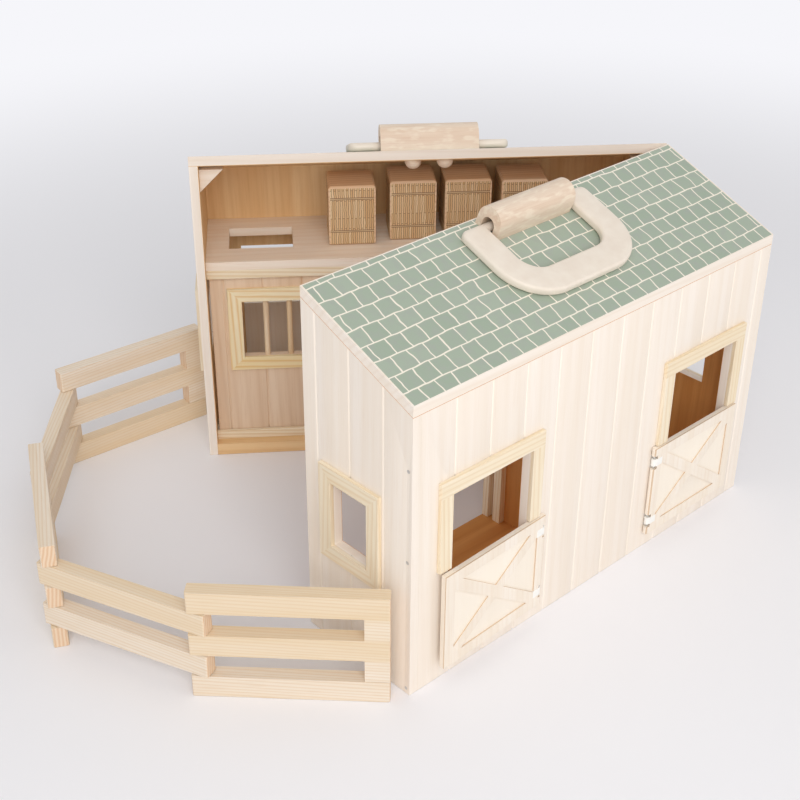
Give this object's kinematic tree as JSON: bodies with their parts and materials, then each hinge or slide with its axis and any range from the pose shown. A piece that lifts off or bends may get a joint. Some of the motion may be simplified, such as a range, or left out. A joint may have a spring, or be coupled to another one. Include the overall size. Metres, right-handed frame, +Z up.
{
  "type": "toy barn",
  "caption": "Wooden toy barn in two hinged halves with opening stable doors, sliding stall doors, carry handles, a loft with hay bales and a folding paddock fence.",
  "frame": {"origin": "middle of the near half's footprint, on the underside of its base board", "axes": "+X along the near half's front wall towards the barn hinges, +Y from that wall towards the ridge, +Z up"},
  "size_m": [0.5366, 0.3863, 0.2609],
  "materials": {
    "washed_plywood": "thin cream wash over plywood, matte",
    "natural_plywood": "clear-sealed plywood, matte",
    "printed_roof": "sage green tile pattern printed on plywood, matte",
    "pine": "sanded pine, clear sealed",
    "cream_wood": "cream lacquer on wood, satin",
    "steel": "bright steel wire and sheet",
    "white_plastic": "white moulded plastic",
    "dowel": "bare wooden dowel",
    "straw_print": "straw pattern printed on the sides of a wooden block"
  },
  "bodies": {
    "near_half": {"near_base": "washed_plywood", "near_long_wall": "washed_plywood", "near_left_wall": "washed_plywood", "near_right_wall": "washed_plywood", "near_roof": "printed_roof", "near_partition": "washed_plywood", "near_partition_strips": "pine", "near_door_trims": "pine", "near_window_trims": "pine", "near_handle_block": "cream_wood", "near_block_caps": "cream_wood", "near_door_staples": "steel", "near_nails": "steel", "near_hinge_leaves": "steel", "hinge_pins": "steel"},
    "far_half": {"far_base": "natural_plywood", "far_long_wall": "natural_plywood", "far_left_wall": "natural_plywood", "far_right_wall": "natural_plywood", "far_roof": "printed_roof", "far_partition": "natural_plywood", "far_door_trims": "pine", "far_window_trims": "pine", "far_handle_block": "cream_wood", "far_block_caps": "cream_wood", "far_door_staples": "steel", "far_nails": "steel", "far_hinge_leaves": "steel", "far_loft_floor": "natural_plywood", "far_track_header": "natural_plywood", "far_track_sill": "natural_plywood", "far_gussets": "natural_plywood"},
    "near_left_door": {"near_left_leaf": "pine", "near_left_straps": "white_plastic"},
    "near_right_door": {"near_right_leaf": "pine", "near_right_straps": "white_plastic"},
    "near_carry_handle": {"near_handle": "cream_wood"},
    "far_left_door": {"far_left_leaf": "pine", "far_left_straps": "white_plastic"},
    "far_right_door": {"far_right_leaf": "pine", "far_right_straps": "white_plastic"},
    "far_carry_handle": {"far_handle": "cream_wood"},
    "left_stall_door": {"left_stall_panel": "natural_plywood", "left_stall_frame": "pine", "left_stall_bars": "pine"},
    "right_stall_door": {"right_stall_panel": "natural_plywood", "right_stall_frame": "pine", "right_stall_bars": "pine"},
    "fence_1": {"fence_panel_1": "pine"},
    "fence_2": {"fence_panel_2": "pine", "fence_pins_2": "dowel"},
    "fence_3": {"fence_panel_3": "pine"},
    "fence_4": {"fence_panel_4": "pine", "fence_pins_4": "dowel"},
    "fence_5": {"fence_panel_5": "pine"},
    "bale_1": {"hay_bale_1": "straw_print"},
    "bale_2": {"hay_bale_2": "straw_print"},
    "bale_3": {"hay_bale_3": "straw_print"},
    "bale_4": {"hay_bale_4": "straw_print"}
  },
  "joints": [
    {"name": "barn_opening", "type": "hinge", "parent": "near_half", "child": "far_half", "pos_m": [0.1723, 0.0477, 0], "axis": [0, 0, -1], "range_deg": [-37.4, 127.6]},
    {"name": "near_left_door_swing", "type": "hinge", "parent": "near_half", "child": "near_left_door", "pos_m": [-0.0575, -0.0499, 0], "axis": [0, 0, 1], "range_deg": [-2, 123]},
    {"name": "near_right_door_swing", "type": "hinge", "parent": "near_half", "child": "near_right_door", "pos_m": [0.0575, -0.0499, 0], "axis": [0, 0, -1], "range_deg": [0, 125]},
    {"name": "far_left_door_swing", "type": "hinge", "parent": "far_half", "child": "far_left_door", "pos_m": [0.04902, 0.26481, 0], "axis": [0, 0, -1], "range_deg": [0, 125]},
    {"name": "far_right_door_swing", "type": "hinge", "parent": "far_half", "child": "far_right_door", "pos_m": [0.14038, 0.19496, 0], "axis": [0, 0, 1], "range_deg": [0, 125]},
    {"name": "near_handle_lift", "type": "hinge", "parent": "near_half", "child": "near_carry_handle", "pos_m": [0, 0.03442, 0.24583], "axis": [-1, 0, 0], "range_deg": [0, 112]},
    {"name": "far_handle_lift", "type": "hinge", "parent": "far_half", "child": "far_carry_handle", "pos_m": [0.04349, 0.1629, 0.24583], "axis": [0.7944, -0.6074, 0], "range_deg": [0, 112]},
    {"name": "left_stall_door_slide", "type": "slide", "parent": "far_half", "child": "left_stall_door", "axis": [0.7944, -0.6074, 0], "range_m": [-0.0014, 0.2068]},
    {"name": "right_stall_door_slide", "type": "slide", "parent": "far_half", "child": "right_stall_door", "axis": [-0.7944, 0.6074, 0], "range_m": [-0.0014, 0.2068]},
    {"name": "fence_lift", "type": "slide", "parent": "far_half", "child": "fence_1", "axis": [0, 0, 1], "range_m": [0, 0.3]},
    {"name": "fence_hinge_1", "type": "hinge", "parent": "fence_1", "child": "fence_2", "pos_m": [-0.1793, 0.32147, 0], "axis": [0, 0, -1], "range_deg": [0, 60]},
    {"name": "fence_hinge_2", "type": "hinge", "parent": "fence_2", "child": "fence_3", "pos_m": [-0.25181, 0.24009, 0], "axis": [0, 0, -1], "range_deg": [-1, 100]},
    {"name": "fence_hinge_3", "type": "hinge", "parent": "fence_3", "child": "fence_4", "pos_m": [-0.30129, 0.14297, 0], "axis": [0, 0, -1], "range_deg": [-1, 90]},
    {"name": "fence_hinge_4", "type": "hinge", "parent": "fence_4", "child": "fence_5", "pos_m": [-0.26046, 0.0419, 0], "axis": [0, 0, -1], "range_deg": [-1, 90]},
    {"name": "bale_1_slide", "type": "slide", "parent": "far_half", "child": "bale_1", "axis": [-0.6074, -0.7944, 0], "range_m": [0, 0.12]},
    {"name": "bale_2_slide", "type": "slide", "parent": "far_half", "child": "bale_2", "axis": [-0.6074, -0.7944, 0], "range_m": [0, 0.12]},
    {"name": "bale_3_slide", "type": "slide", "parent": "far_half", "child": "bale_3", "axis": [-0.6074, -0.7944, 0], "range_m": [0, 0.12]},
    {"name": "bale_4_slide", "type": "slide", "parent": "far_half", "child": "bale_4", "axis": [-0.6074, -0.7944, 0], "range_m": [0, 0.12]}
  ]
}
